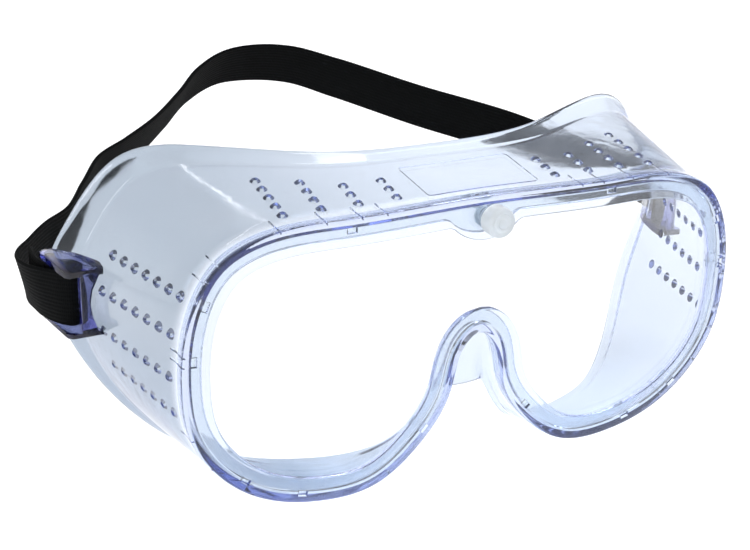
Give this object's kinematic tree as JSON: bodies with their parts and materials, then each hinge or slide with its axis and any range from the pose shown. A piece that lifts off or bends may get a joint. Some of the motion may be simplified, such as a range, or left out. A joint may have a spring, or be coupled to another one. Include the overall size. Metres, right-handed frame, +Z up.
{
  "type": "safety goggles",
  "caption": "Clear soft-framed safety goggles with a flat lens, perforated vent walls, a face flange, side strap brackets and a black elastic headband.",
  "frame": {"origin": "on the surface the goggles stand on, under the middle of the whole object's box, headband included", "axes": "+X to the wearer's left (the viewer's right when the lens faces the viewer), -Y out through the lens, +Z up"},
  "size_m": [0.2106, 0.1564, 0.0844],
  "materials": {
    "clear_vinyl": "clear soft vinyl with a blue-violet tint, glossy",
    "clear_lens": "clear polycarbonate, polished",
    "frosted_plastic": "frosted translucent white",
    "violet_plastic": "clear deep blue-violet, glossy",
    "elastic_webbing": "ribbed woven elastic, matt"
  },
  "bodies": {
    "goggles": {"goggle_frame": "clear_vinyl", "lens": "clear_lens", "lens_stud": "frosted_plastic", "left_strap_bracket": "violet_plastic", "right_strap_bracket": "violet_plastic", "left_band_end": "elastic_webbing", "right_band_end": "elastic_webbing"},
    "headband": {"headband": "elastic_webbing"},
    "left_tail": {"left_band_tail": "elastic_webbing"},
    "right_tail": {"right_band_tail": "elastic_webbing"}
  },
  "joints": [
    {"name": "headband_swing", "type": "hinge", "parent": "goggles", "child": "headband", "pos_m": [0, -0.0262, 0.0492], "axis": [1, 0, 0], "range_deg": [-30, 40]},
    {"name": "left_tail_pull", "type": "slide", "parent": "goggles", "child": "left_tail", "axis": [0.0802, 0.9968, 0], "range_m": [0, 0.006]},
    {"name": "right_tail_pull", "type": "slide", "parent": "goggles", "child": "right_tail", "axis": [-0.0802, 0.9968, 0], "range_m": [0, 0.006]}
  ]
}
